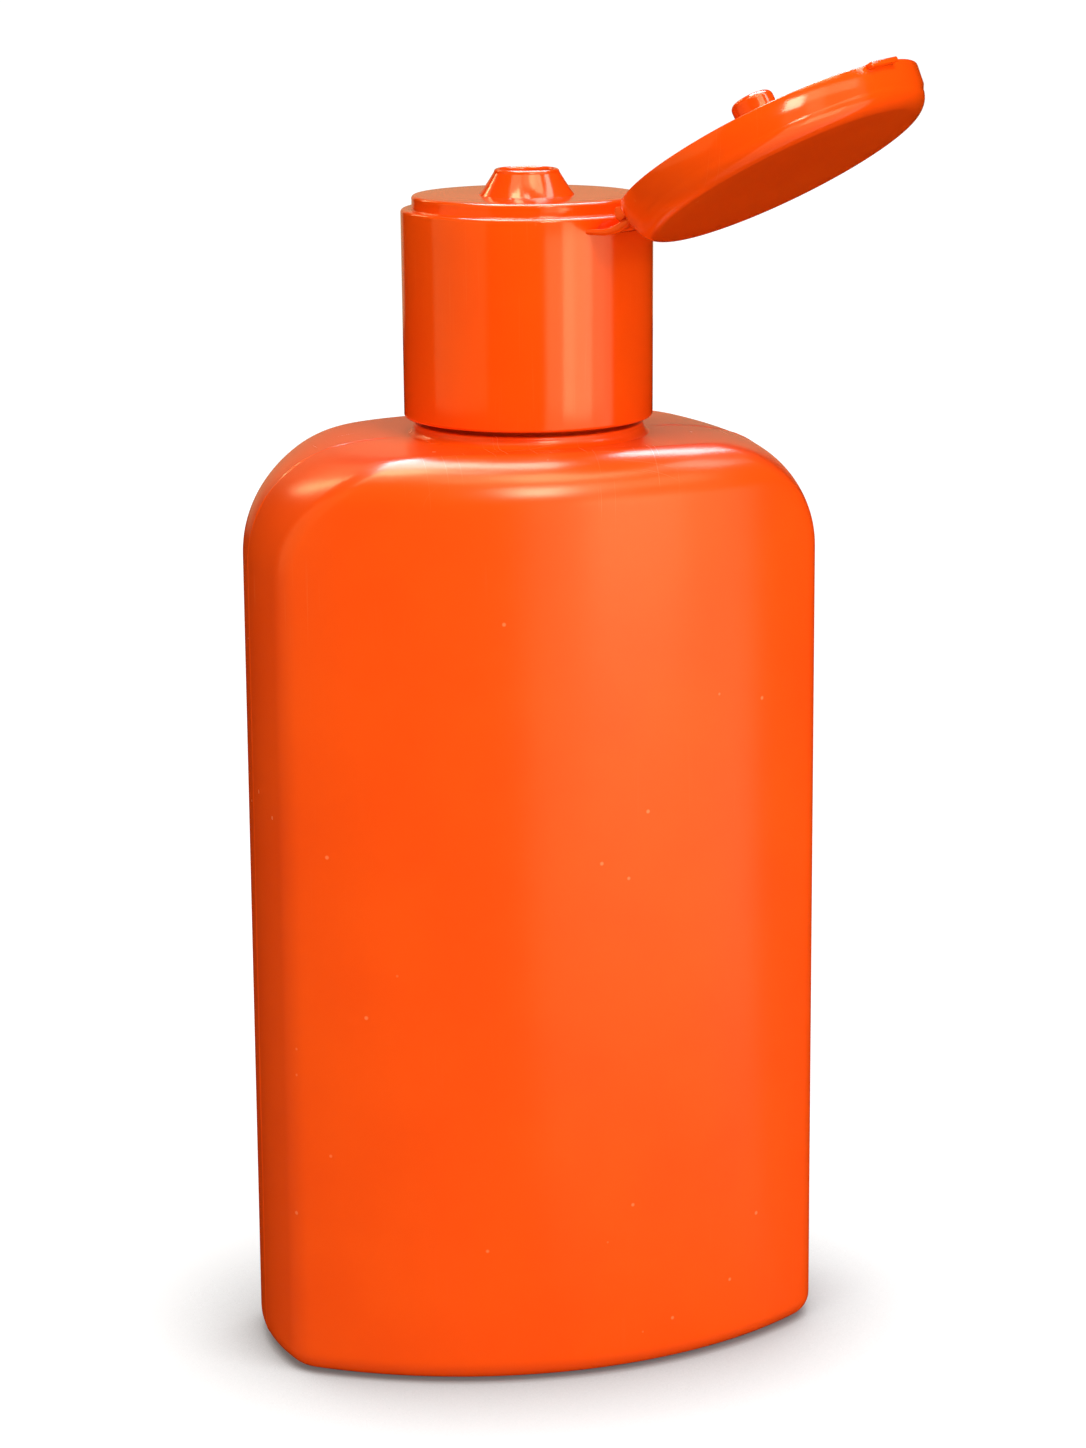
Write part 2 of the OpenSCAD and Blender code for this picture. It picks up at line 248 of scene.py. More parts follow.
# A form turned about Z: its section, drawn as radius and height, is carried round the axis
def turnedFormTree():
    tree = bpy.data.node_groups.new("turnedForm", "GeometryNodeTree")
    for name, kind in (
        ("Section", "NodeSocketGeometry"), ("Steps Round", "NodeSocketInt"),
        ("Merge Distance", "NodeSocketFloat"), ("Plastic", "NodeSocketMaterial"),
    ):
        tree.interface.new_socket(name, in_out="INPUT", socket_type=kind)
    tree.interface.new_socket("Geometry", in_out="OUTPUT", socket_type="NodeSocketGeometry")
    given = addNode(tree, "NodeGroupInput").outputs
    section = addNode(tree, "GeometryNodeMeshToCurve", None, {"Mesh": given["Section"]})
    path = addNode(tree, "GeometryNodeCurvePrimitiveCircle", {"Radius": mm}, {"Resolution": given["Steps Round"]})
    upright = addNode(tree, "GeometryNodeSetCurveNormal", {"mode": "Z_UP"}, {"Curve": path.outputs["Curve"]})
    swept = addNode(
        tree, "GeometryNodeCurveToMesh", None,
        {"Curve": upright.outputs["Curve"], "Profile Curve": section.outputs["Curve"]},
    )
    welded = addNode(
        tree, "GeometryNodeMergeByDistance", None,
        {"Geometry": swept.outputs["Mesh"], "Distance": given["Merge Distance"]},
    )
    real = addNode(tree, "GeometryNodeRealizeInstances", None, {"Geometry": welded.outputs["Geometry"]})
    dressed = addNode(
        tree, "GeometryNodeSetMaterial", None, {"Geometry": real.outputs["Geometry"], "Material": given["Plastic"]}
    )
    addNode(tree, "NodeGroupOutput", None, {"Geometry": dressed.outputs["Geometry"]})
    return tree


# A thread: its section follows a spiral and thins out at both ends
def screwThreadTree():
    tree = bpy.data.node_groups.new("screwThread", "GeometryNodeTree")
    for name, kind in (
        ("Section", "NodeSocketGeometry"), ("Radius", "NodeSocketFloat"), ("Pitch", "NodeSocketFloat"),
        ("Turns", "NodeSocketFloat"), ("Foot Height", "NodeSocketFloat"), ("Steps", "NodeSocketInt"),
        ("Run Out", "NodeSocketFloat"), ("Plastic", "NodeSocketMaterial"),
    ):
        tree.interface.new_socket(name, in_out="INPUT", socket_type=kind)
    tree.interface.new_socket("Geometry", in_out="OUTPUT", socket_type="NodeSocketGeometry")
    given = addNode(tree, "NodeGroupInput").outputs
    rise = addNode(tree, "ShaderNodeMath", {"operation": "MULTIPLY"}, {0: given["Pitch"], 1: given["Turns"]})
    spiral = addNode(
        tree, "GeometryNodeCurveSpiral", None,
        {
            "Resolution": given["Steps"], "Rotations": given["Turns"], "Start Radius": given["Radius"],
            "End Radius": given["Radius"], "Height": rise.outputs[0],
        },
    )
    along = addNode(tree, "GeometryNodeSplineParameter")
    # 0 at the spiral's ends and 1 in its middle
    back = addNode(tree, "ShaderNodeMath", {"operation": "SUBTRACT", 0: 1.0}, {1: along.outputs["Factor"]})
    near = addNode(
        tree, "ShaderNodeMath", {"operation": "MINIMUM"}, {0: along.outputs["Factor"], 1: back.outputs[0]}
    )
    share = addNode(
        tree, "ShaderNodeMath", {"operation": "DIVIDE", "use_clamp": True},
        {0: near.outputs[0], 1: given["Run Out"]},
    )
    full = addNode(tree, "ShaderNodeMath", {"operation": "MAXIMUM", 1: 0.12}, {0: share.outputs[0]})
    thinned = addNode(
        tree, "GeometryNodeSetCurveRadius", None, {"Curve": spiral.outputs["Curve"], "Radius": full.outputs[0]}
    )
    upright = addNode(tree, "GeometryNodeSetCurveNormal", {"mode": "Z_UP"}, {"Curve": thinned.outputs["Curve"]})
    section = addNode(tree, "GeometryNodeMeshToCurve", None, {"Mesh": given["Section"]})
    swept = addNode(
        tree, "GeometryNodeCurveToMesh", {"Fill Caps": True},
        {"Curve": upright.outputs["Curve"], "Profile Curve": section.outputs["Curve"]},
    )
    if "Scale" in swept.inputs:
        tree.links.new(full.outputs[0], swept.inputs["Scale"])
    up = addNode(tree, "ShaderNodeCombineXYZ", None, {"Z": given["Foot Height"]})
    placed = addNode(
        tree, "GeometryNodeTransform", None, {"Geometry": swept.outputs["Mesh"], "Translation": up.outputs["Vector"]}
    )
    real = addNode(tree, "GeometryNodeRealizeInstances", None, {"Geometry": placed.outputs["Geometry"]})
    dressed = addNode(
        tree, "GeometryNodeSetMaterial", None, {"Geometry": real.outputs["Geometry"], "Material": given["Plastic"]}
    )
    addNode(tree, "NodeGroupOutput", None, {"Geometry": dressed.outputs["Geometry"]})
    return tree


# Puts a tree on a piece with its named inputs, then keeps the result as a plain mesh
def grow(thing, tree, values):
    step = thing.modifiers.new(tree.name, "NODES")
    step.node_group = tree
    sockets = {item.name: item.identifier for item in tree.interface.items_tree if item.in_out == "INPUT"}
    for name, value in values.items():
        step[sockets[name]] = value
    return settle(thing)


turnedForm = turnedFormTree()
screwThread = screwThreadTree()


# The section's X is its distance outside the 1 mm circle that carries it, and its Y points down
def turnedPiece(name, section, closed, stepsRound):
    points = [(r - 1, -z, 0) for r, z in section]
    edges = [(i, i + 1) for i in range(len(points) - 1)] + ([(len(points) - 1, 0)] if closed else [])
    piece = thingFrom(name, points, [], edges)
    grow(piece, turnedForm, {
        "Steps Round": stepsRound, "Merge Distance": 0.002 * mm, "Plastic": mouldedPolypropylene,
    })
    return mendNormals(piece)


def threadPiece(name, section, values, plastic):
    points = [(r, -z, 0) for r, z in section]
    piece = thingFrom(name, points, [], [(i, (i + 1) % len(points)) for i in range(len(points))])
    grow(piece, screwThread, {**values, "Plastic": plastic})
    return mendNormals(piece)


# Body

body = {
    "shoulderHeight": 105.3, "width": 65.0, "depth": 41.4,
    "faceBow": 50.0, "sideBow": 31.0, "cornerRadius": 5.0,
    "shoulderRadius": 12.9, "shoulderSlope": 8.0, "shoulderCrown": 0.6,
    "faceEdge": 5.0, "edgeTurn": 80.0, "footRadius": 2.6,
    "wall": 1.2, "base": 1.5, "pushUp": 0.7,
    "seamOut": 0.1, "seamHalf": 0.22,  # the line where the mould's halves met
    "faceSteps": 40, "cornerSteps": 14, "curveSteps": 34, "blendSteps": 14,
}
neck = {
    "height": 24.2, "radius": 11.0, "wall": 1.7,
    "beadOut": 2.4, "beadHeight": 1.15, "beadFillet": 0.25, "beadDraft": 0.45,
    "lip": 0.4, "threadDepth": 1.1, "threadPitch": 3.2, "threadTurns": 2.2, "threadTop": 4.0,
}

curveLow = body["shoulderHeight"] - body["shoulderRadius"]
curveEnd = math.radians(90 - body["shoulderSlope"])
curveHalf = body["width"] / 2 - body["shoulderRadius"] * (1 - math.cos(curveEnd))
curveTop = curveLow + body["shoulderRadius"] * math.sin(curveEnd)
beadRadius = neck["radius"] + neck["beadOut"]
crownPower = curveHalf * math.tan(math.radians(body["shoulderSlope"])) / body["shoulderCrown"]
neckFoot = curveTop + body["shoulderCrown"]
neckTop = neckFoot + neck["height"]
neckBore = neck["radius"] - neck["wall"]
beadTop = neckFoot + neck["beadHeight"]


# The body's section: the face's bow, the corner and the narrow side's bow, each tangent to the next
def sectionRing(halfWidth, halfDepth, cut):
    faceCentre = np.array([0, halfDepth - body["faceBow"]])
    sideCentre = np.array([halfWidth - body["sideBow"], 0])
    faceReach, sideReach = body["faceBow"] - body["cornerRadius"], body["sideBow"] - body["cornerRadius"]
    between = sideCentre - faceCentre
    span = np.hypot(*between)
    along = (faceReach ** 2 - sideReach ** 2 + span ** 2) / (2 * span)
    off = math.sqrt(faceReach ** 2 - along ** 2)
    way = between / span
    cornerCentre = faceCentre + along * way + off * np.array([way[1], -way[0]])
    first = math.atan2(*(cornerCentre - faceCentre)[::-1])
    second = math.atan2(*(cornerCentre - sideCentre)[::-1])
    nearSeam = np.radians([1.9, 1.3, 0.9, 0.62, 0.42, 0.26, 0.12, 0])
    sideTurns = np.concatenate([np.linspace(second, nearSeam[0], 12)[:-1], nearSeam])
    arcs = (
        (faceCentre, body["faceBow"], np.linspace(math.pi / 2, first, body["faceSteps"] + 1)[:-1]),
        (cornerCentre, body["cornerRadius"], np.linspace(first, second, body["cornerSteps"] + 1)[:-1]),
        (sideCentre, body["sideBow"], sideTurns),
    )
    quarter = np.concatenate([
        centre + (radius - cut) * np.column_stack([np.cos(turns), np.sin(turns)]) for centre, radius, turns in arcs
    ])
    last = len(quarter) - 1
    return np.concatenate([
        quarter[:last], (quarter * [1, -1])[last:0:-1], -quarter[:last], (quarter * [-1, 1])[last:0:-1]
    ])


def atHeight(ring, z):
    return np.column_stack([ring, np.full(len(ring), z)])


# A ring of half width half, lifted to z and then the more the nearer it is to the middle of its width
def crowned(ring, half, z, share):
    rise = share * body["shoulderCrown"] * (1 - (np.abs(ring[:, 0]) / half) ** crownPower)
    return np.column_stack([ring, z + rise])


# How far a face stands back where its top edge turns in to the shoulder
def edgeIn(z):
    over = z - (curveTop - body["faceEdge"] * math.sin(math.radians(body["edgeTurn"])))
    return 0 if over <= 0 else body["faceEdge"] - math.sqrt(body["faceEdge"] ** 2 - over ** 2)


def skinRings(cut, floorZ, topRadius, topZ, footSteps, straight, curveSteps, blendSteps):
    halfWidth, halfDepth = body["width"] / 2, body["depth"] / 2
    footRadius = body["footRadius"] - cut / 2
    rings = []
    for t in np.linspace(0, math.pi / 2, footSteps + 1):
        ring = sectionRing(halfWidth, halfDepth, cut + footRadius * (1 - math.sin(t)))
        rings.append(atHeight(ring, floorZ + footRadius * (1 - math.cos(t))))
    for z in np.linspace(floorZ + footRadius, curveLow, straight + 2)[1:-1]:
        rings.append(atHeight(sectionRing(halfWidth, halfDepth, cut), z))
    for t in np.linspace(0, curveEnd, curveSteps + 1):
        outerZ = curveLow + body["shoulderRadius"] * math.sin(t)
        half = halfWidth - (body["shoulderRadius"] - cut) * (1 - math.cos(t))
        share = (math.sin(t) / math.sin(curveEnd)) ** 2
        startZ = outerZ - cut * math.sin(t)
        rings.append(crowned(sectionRing(half, halfDepth - edgeIn(outerZ), cut), half, startZ, share))
    start = rings[-1][:, :2]
    circle = start / np.linalg.norm(start, axis=1)[:, None] * topRadius
    for t in np.linspace(0, 1, blendSteps + 1)[1:]:
        rings.append(crowned(start * (1 - t) + circle * t, half, startZ + (topZ - startZ) * t, 1 - t))
    return rings


def bottleRings():
    fillet = neck["beadFillet"]
    outer = skinRings(0, 0, beadRadius + fillet, neckFoot - 0.05, 9, 9, body["curveSteps"], body["blendSteps"])
    foot = outer[0][:, :2]
    # The pushed-up base: shares of the foot's outline, each with its share of the push-up
    base = [atHeight(foot * s, z * body["pushUp"]) for s, z in (
        (0.12, 1), (0.35, 0.99), (0.6, 0.95), (0.78, 0.88), (0.86, 0.74),
        (0.895, 0.42), (0.92, 0.12), (0.94, 0.0), (0.97, 0.0),
    )]
    direction = foot / np.linalg.norm(foot, axis=1)[:, None]
    lip, root = neck["lip"], 0.5
    # The collar's wall: hollow from the shoulder up to a narrower top edge
    low, high, narrow = neckFoot - 0.05, beadTop - 0.25, neck["beadDraft"]
    profile = [
        (beadRadius + fillet * (1 - s) ** 3 - narrow * (1 - (1 - s) ** 2), low + (high - low) * s)
        for s in np.linspace(0, 1, 10)
    ]
    profile += arcPoints((beadRadius - narrow - 0.25, high), 0.25, 10, 90, 5)
    profile += arcPoints((neck["radius"] + root, beadTop + root), root, 270, 180, 5)
    profile += [(neck["radius"], z) for z in np.linspace(beadTop + 2, neckTop - 2, 6)]
    profile += arcPoints((neck["radius"] - lip, neckTop - lip), lip, 0, 90, 6)
    profile += arcPoints((neckBore + 0.3, neckTop - 0.3), 0.3, 90, 180, 4)
    profile += [(neckBore, z) for z in np.linspace(neckTop - 3, neckFoot - body["wall"] + 0.8, 6)]
    profile += arcPoints((neckBore + 0.8, neckFoot - body["wall"] + 0.8), 0.8, 190, 260, 4)
    turned = [atHeight(direction * r, z) for r, z in profile]
    inner = skinRings(body["wall"], body["base"], neckBore + 0.9, neckFoot - body["wall"], 5, 5, 16, 6)
    return base, outer, turned, inner[::-1]


def makeBottleBody():
    base, outer, turned, inner = bottleRings()
    rings = base + outer + turned + inner
    count = len(rings[0])
    points = np.concatenate(rings + [np.array([[0, 0, body["pushUp"]], [0, 0, body["base"]]])])
    faces = []
    for j in range(len(rings) - 1):
        for i in range(count):
            a, b = j * count + i, j * count + (i + 1) % count
            faces.append((a, b, b + count, a + count))
    lastRing, centre = (len(rings) - 1) * count, len(rings) * count
    faces += [(centre, (i + 1) % count, i) for i in range(count)]
    faces += [(centre + 1, lastRing + i, lastRing + (i + 1) % count) for i in range(count)]
    piece = mendNormals(thingFrom("bottleBody", points, faces))
    # The parting line: a low uneven ridge down the middle of both narrow sides and over the shoulders
    mesh = piece.data
    first, last = len(base) * count, (len(base) + len(outer)) * count
    for k in range(first, last):
        spot = mesh.vertices[k]
        x, y, z = spot.co / mm
        if abs(y) < 1.2 and abs(x) > beadRadius + 0.6:
            uneven = 0.65 + 0.7 * noise.noise(Vector((x, 0, z)) * 0.35) + 0.35 * noise.noise(Vector((x, 5, z)) * 1.9)
            fade = min(1.0, (abs(x) - beadRadius - 0.6) / 3) * min(1.0, z / 3)
            out = body["seamOut"] * max(0.15, uneven) * fade * math.exp(-(y / body["seamHalf"]) ** 2)
            spot.co += mesh.vertex_normals[k].vector * out * mm
    # The pinched-off end of the blown tube, a low bar across the middle of the base
    bar = [(x, z) for x, z in ((-25, 0.75), (-24.4, 0.32), (-23, 0.25), (23, 0.25), (24.4, 0.32), (25, 0.75))]
    pinch = roundEdges(prism("pinch", bar, -0.4, 0.4), 0.12, 2)
    joinInto(piece, [pinch])
    piece.data.materials.append(blownPolythene)
    smoothSurface(piece, 38)
    return piece


bottleBody = makeBottleBody()
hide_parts("bottle")
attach(bottleBody, "bottle")
print("bottle body", len(bottleBody.data.polygons), "faces")


# The neck's thread, right-handed; its section is a low rounded trapezoid
def makeNeckThread():
    half, soft = 0.95, 0.3
    crest = neck["threadDepth"] - soft
    section = [
        (-0.3, -half), (0, -half), *arcPoints((crest, -0.2), soft, -50, 0, 3),
        *arcPoints((crest, 0.2), soft, 0, 50, 3), (0, half), (-0.3, half),
    ]
    rise = neck["threadPitch"] * neck["threadTurns"]
    return threadPiece("neckThread", section, {
        "Radius": neck["radius"] * mm, "Pitch": neck["threadPitch"] * mm, "Turns": neck["threadTurns"],
        "Foot Height": (neckTop - neck["threadTop"] + 1.5 - rise) * mm, "Steps": 90, "Run Out": 0.07,
    }, blownPolythene)


neckThread = makeNeckThread()
smoothSurface(neckThread)
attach(neckThread, "bottle")
print("neck thread", len(neckThread.data.polygons), "faces")


# Cap base

cap = {
    "skirtIn": neck["radius"] + neck["threadDepth"] + 0.5, "skirtWall": 1.4, "skirtDraft": 0.1, "footGap": 0.65,
    "deck": 0.8, "ledge": 1.22, "discRise": 1.5, "discWall": 1.2,
    "spoutHeight": 2.85, "spoutRadius": 3.65, "mouthRadius": 2.95, "boreRadius": 3.2, "spoutFlare": 1.7,
    "tubeLength": 4.3, "sealLength": 3.6, "sealWall": 0.8, "stepsRound": 180,
    "pocketDepth": 0.65, "pocketTop": 4.75, "pocketFoot": 6.45, "pocketLow": 1.9, "pocketHigh": 0.35,
}
gap, ease = 0.15, 0.05  # room between pieces that pass each other, and between pieces that turn or rest
skirtRadius = cap["skirtIn"] + cap["skirtWall"]
skirtTop = skirtRadius + cap["skirtDraft"]
capRim = beadTop + cap["footGap"]
deckUnder = neckTop + ease
ledgeZ = deckUnder + cap["deck"]
discZ = ledgeZ + cap["discRise"]
discRadius = skirtTop - cap["ledge"]
spoutZ = discZ + cap["spoutHeight"]
sealRadius = neckBore - gap

lid = {
    "over": 3.4, "draft": 0.5, "wall": 1.2, "top": 0.9, "edge": 2.2, "gapOverLedge": 0.7,
    "plugRadius": 2.4, "plugLength": 4.7, "roofGap": 0.1, "stepsRound": 216,
    "ring": 0.5, "ringOut": 0.22, "ringGap": 0.1, "hingeIn": 0.9,
    "openAngle": 150.4, "hingeTurn": -48.5, "tabTurn": 10.0, "tabWidth": 4.5, "tabOut": 0.7, "tabThick": 0.6,
}
hinge = {
    "barrelRadius": 0.68, "pinRadius": 0.5, "pinClear": 0.05, "headRadius": 0.72, "barrelHalf": 5.6,
    "eyeThick": 0.7, "eyeWall": 0.45, "headThick": 0.4, "slot": 0.66, "slotTurn": 118.0,
    "lipTurns": (250, 257, 272, 288, 300, 313), "lipThick": (0.56, 0.58, 0.72, 0.84, 0.92, 0.66),
}
lidRadius = skirtTop + lid["over"]
lidZ = ledgeZ + lid["gapOverLedge"]
lidRoof = spoutZ - lidZ + lid["roofGap"]
lidHeight = lidRoof + lid["top"]
hingeOut = lidRadius - lid["hingeIn"]
eyeStart = hinge["barrelHalf"] + gap
eyeEnd = eyeStart + hinge["eyeThick"]
headStart = eyeEnd + ease
hornEnd = headStart + hinge["headThick"] + ease
eyeBore = hinge["pinRadius"] + hinge["pinClear"]
eyeRadius = eyeBore + hinge["eyeWall"]

toHingeSide = Matrix.Rotation(math.radians(lid["hingeTurn"]), 4, "Z")
hingePoint = Vector((hingeOut, 0, lidZ)) * mm
swing = Matrix.Rotation(math.radians(lid["openAngle"]), 4, "Y")
swingOpen = Matrix.Translation(hingePoint) @ swing @ Matrix.Translation(-hingePoint)


def capSection():
    soft, lip = 0.35, (cap["spoutRadius"] - cap["mouthRadius"]) / 2
    tube, deckLow = cap["boreRadius"] + 1, discZ - cap["discWall"]
    sealFoot = deckUnder - cap["sealLength"]
    points = [(cap["skirtIn"] + 0.15, capRim), (skirtRadius - soft, capRim)]
    points += arcPoints((skirtRadius - soft, capRim + soft), soft, -75, 0, 5)
    points += [(skirtRadius + cap["skirtDraft"] * s, capRim + (ledgeZ - capRim) * s) for s in (0.15, 0.5, 0.85)]
    points += arcPoints((skirtTop - soft, ledgeZ - soft), soft, 0, 90, 6)
    points += [(discRadius + 0.5, ledgeZ)] + arcPoints((discRadius + 0.15, ledgeZ + 0.15), 0.15, 270, 180, 3)
    points += [(discRadius - 0.03, discZ - 0.6)]
    points += arcPoints((discRadius - soft, discZ - soft), soft, 0, 90, 6)
    points += [(9.5, discZ)]
    # The spout's flank: a cone that flares a little more at its foot
    flank = cap["spoutHeight"] - lip
    points += [
        (cap["spoutRadius"] + cap["spoutFlare"] * (0.9 * (1 - t) + 0.1 * (1 - t) ** 3), discZ + flank * t)
        for t in np.linspace(0, 1, 22)
    ]
    points += arcPoints((cap["spoutRadius"] - lip, spoutZ - lip), lip, 12, 180, 12)
    points += [(cap["mouthRadius"], spoutZ - 0.9), (cap["boreRadius"], spoutZ - 1.2)]
    points += [(r, discZ - cap["tubeLength"]) for r in (cap["boreRadius"], tube - 0.4)]
    points += [(tube, deckLow)]
    points += [(sealRadius - cap["sealWall"], deckLow), (sealRadius - cap["sealWall"], sealFoot)]
    points += [(sealRadius - 0.3, sealFoot), (sealRadius, sealFoot + 0.8), (sealRadius, deckUnder)]
    return points + [(cap["skirtIn"], deckUnder), (cap["skirtIn"], capRim + 0.15)]


# A wedge with the scoop's curved back, deepest at its foot, between the hinge's lips
def pocketCutter():
    across = np.linspace(-1, 1, 25)
    levels = (
        (ledgeZ - cap["pocketLow"], cap["pocketFoot"], skirtRadius - cap["pocketDepth"]),
        (ledgeZ - cap["pocketHigh"], cap["pocketTop"], skirtTop + 0.01),
    )
    points = []
    for extra in (0, 1):
        for z, half, inner in levels:
            radius = skirtTop + 1 if extra else inner
            points += [(math.sqrt(radius ** 2 - (half * s) ** 2), half * s, z) for s in across]
    n = len(across)
    corners = [0, n, 3 * n, 2 * n]
    faces = [
        (a + i, b + i, b + i + 1, a + i + 1)
        for a, b in zip(corners, corners[1:] + corners[:1]) for i in range(n - 1)
    ]
    faces += [tuple(corners), tuple(c + n - 1 for c in corners[::-1])]
    return mendNormals(thingFrom("pocket", points, faces))


# The open lid's outside in the hinge's own directions: a point inside it is moved out to its skirt
def clearOfLid(point, room=0.06):
    closed = (swingOpen.inverted() @ (Vector(point) * mm)) / mm
    level = closed.z - lidZ
    reach = math.hypot(closed.x, closed.y)
    skirt = lidRadius - lid["draft"] * level / lidHeight + room
    if -room < level < lidHeight + room and reach < skirt:
        if level < 1.0 and skirt - reach > level + room:
            closed.z = lidZ - room
        else:
            closed.x, closed.y = closed.x * skirt / reach, closed.y * skirt / reach
    return tuple((swingOpen @ (closed * mm)) / mm)


# A closed solid through rings of points, with a face over each end
def ringSolid(name, rings):
    count = len(rings[0])
    points = [p for ring in rings for p in ring]
    faces = [tuple(range(count)), tuple(range(len(points) - 1, len(points) - 1 - count, -1))]
    faces += [
        (j * count + i, j * count + (i + 1) % count, (j + 1) * count + (i + 1) % count, (j + 1) * count + i)
        for j in range(len(rings) - 1) for i in range(count)
    ]
    return mendNormals(thingFrom(name, points, faces))


# A bar between two lines of (out, height), with soft edges, from one side to the other
def loftBar(name, lower, upper, near, far, soft):
    corner = 5
    rings = []
    for foot, head in zip(lower, upper):
        height = np.linalg.norm(head - foot)
        up = (head - foot) / height
        radius = min(soft, 0.46 * height, 0.46 * (far - near))
        ring = []
        for v, w, start in (
            (far - radius, height - radius, 0), (near + radius, height - radius, 90),
            (near + radius, radius, 180), (far - radius, radius, 270),
        ):
            for a, b in arcPoints((v, w), radius, start, start + 90, corner):
                out, z = foot + up * b
                ring.append(clearOfLid((out, a, z)))
        rings.append(ring)
    return ringSolid(name, rings)


# A lip leaves the wall level as a thin bar, thickens under the eye, rises and ends round
def lipLines():
    centre, sweep, flat, end = np.array([hingeOut - 2.6, lidZ - 2.56 + 5.7]), 5.7, 264, 313
    lower, upper = [], []
    turns = np.concatenate([np.linspace(244, 306, 26), np.linspace(307, end, 9)])
    for turn in turns:
        way = np.array([math.cos(math.radians(turn)), math.sin(math.radians(turn))])
        foot = centre + sweep * way
        if turn < flat:
            foot[1] = centre[1] + sweep * math.sin(math.radians(flat))
        up = -way if turn > 270 else np.array([0.0, 1.0])
        thick = np.interp(turn, hinge["lipTurns"], hinge["lipThick"])
        left = math.radians(end - turn) * (sweep - thick / 2) / (thick / 2)
        squeeze = 1 - math.sqrt(max(0.02, 1 - max(0.0, 1 - left) ** 2))
        lower.append(foot + up * thick / 2 * squeeze)
        upper.append(foot + up * thick * (1 - squeeze / 2))
    return lower, upper


# The web between the lips starts inside the wall and stays hidden behind them
def webLines(side):
    root = math.sqrt((cap["skirtIn"] + 0.4) ** 2 - side ** 2)
    outs = np.linspace(root, hingeOut + 0.1, 14) - hingeOut
    lows = np.interp(outs, (-6, -2.0, -0.6, 0.1), (-2.5, -2.45, -2.1, -1.68))
    highs = np.interp(outs, (-6, -3.6, -0.3, 0.1), (-2.1, -2.05, -1.35, -1.36))
    return [[np.array([hingeOut + u, lidZ + z]) for u, z in zip(outs, zs)] for zs in (lows, highs)]


def makeWeb():
    sides = np.linspace(-1, 1, 25) * (hinge["barrelHalf"] + 0.1)
    rings = []
    for side in sides:
        lower, upper = webLines(side)
        rings.append([clearOfLid((u, side, z)) for u, z in lower + upper[::-1]])
    return ringSolid("web", rings)


# An eye: a ring round the pin end with a snap slot at its upper inner side
def eyeOutline():
    half = [math.degrees(math.asin(hinge["slot"] / 2 / radius)) for radius in (eyeRadius, eyeBore)]
    centre, turn = (hingeOut, lidZ), hinge["slotTurn"]
    outer = arcPoints(centre, eyeRadius, turn + half[0], turn + 360 - half[0], 40)
    return outer + arcPoints(centre, eyeBore, turn + 360 - half[1], turn + half[1], 40)


def makeCapBase():
    piece = turnedPiece("capBase", capSection(), True, cap["stepsRound"])
    pocket = pocketCutter()
    pocket.data.transform(toHingeSide)
    cutWith(piece, pocket)
    lips = [makeWeb()]
    for side in (1, -1):
        ends = sorted((side * (hinge["barrelHalf"] + 0.05), side * hornEnd))
        lips.append(loftBar("lip", *lipLines(), *ends, 0.3))
    for side in (1, -1):
        ends = sorted((side * eyeStart, side * eyeEnd))
        lips.append(roundEdges(prism("eye", eyeOutline(), *ends), 0.07, 2))
    for lip in lips:
        lip.data.transform(toHingeSide)
    joinInto(piece, lips)
    smoothSurface(piece)
    return piece


# A round bar along the hinge's pin
def roundBar(name, radius, low, high):
    return prism(name, arcPoints((hingeOut, lidZ), radius, 0, 360, 48)[:-1], low, high)


def makeCapThread():
    section = [(0.3, -0.8), (0, -0.8), (-0.4, -0.3), (-0.45, 0), (-0.4, 0.3), (0, 0.8), (0.3, 0.8)]
    return threadPiece("capThread", section, {
        "Radius": cap["skirtIn"] * mm, "Pitch": neck["threadPitch"] * mm, "Turns": 2.0,
        "Foot Height": (capRim + 9) * mm, "Steps": 90, "Run Out": 0.08,
    }, mouldedPolypropylene)


capBase = makeCapBase()
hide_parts("cap_base")
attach(capBase, "cap")
capThread = makeCapThread()
smoothSurface(capThread)
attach(capThread, "cap")
print("cap base", len(capBase.data.polygons), "faces; cap thread", len(capThread.data.polygons), "faces")


# Lid, made as it lies closed and then swung open about its pin

def lidSection():
    tip, inner = 0.7, lidRadius - lid["draft"] - lid["wall"]
    ring, ringDrop = discRadius + lid["ringOut"], lidZ - ledgeZ - lid["ringGap"]
    points = [(0, -lid["plugLength"])]
    points += arcPoints((lid["plugRadius"] - tip, tip - lid["plugLength"]), tip, -90, 0, 8)
    points += [(lid["plugRadius"], lidRoof - 0.8)]
    points += [(cap["mouthRadius"] - 0.1, lidRoof - 0.1), (cap["mouthRadius"], lidRoof)]
    points += [(ring, lidRoof), (ring, -ringDrop), (ring + lid["ring"], -ringDrop), (ring + lid["ring"], lidRoof)]
    points += arcPoints((inner - 1.1, lidRoof - 1.1), 1.1, 90, 5, 8)
    points += [(lidRadius - lid["wall"], 0.1), (lidRadius - lid["wall"] + 0.1, 0)]
    points += arcPoints((lidRadius - 0.15, 0.15), 0.15, -90, 0, 3)
    points += [(lidRadius - lid["draft"] * s, lidHeight * s) for s in (0.25, 0.45)]
    points += arcPoints((lidRadius - lid["draft"] - lid["edge"], lidHeight - lid["edge"]), lid["edge"], 5, 90, 18)
    points += [(12, lidHeight), (6, lidHeight), (0, lidHeight)]
    return [(r, z + lidZ) for r, z in points]


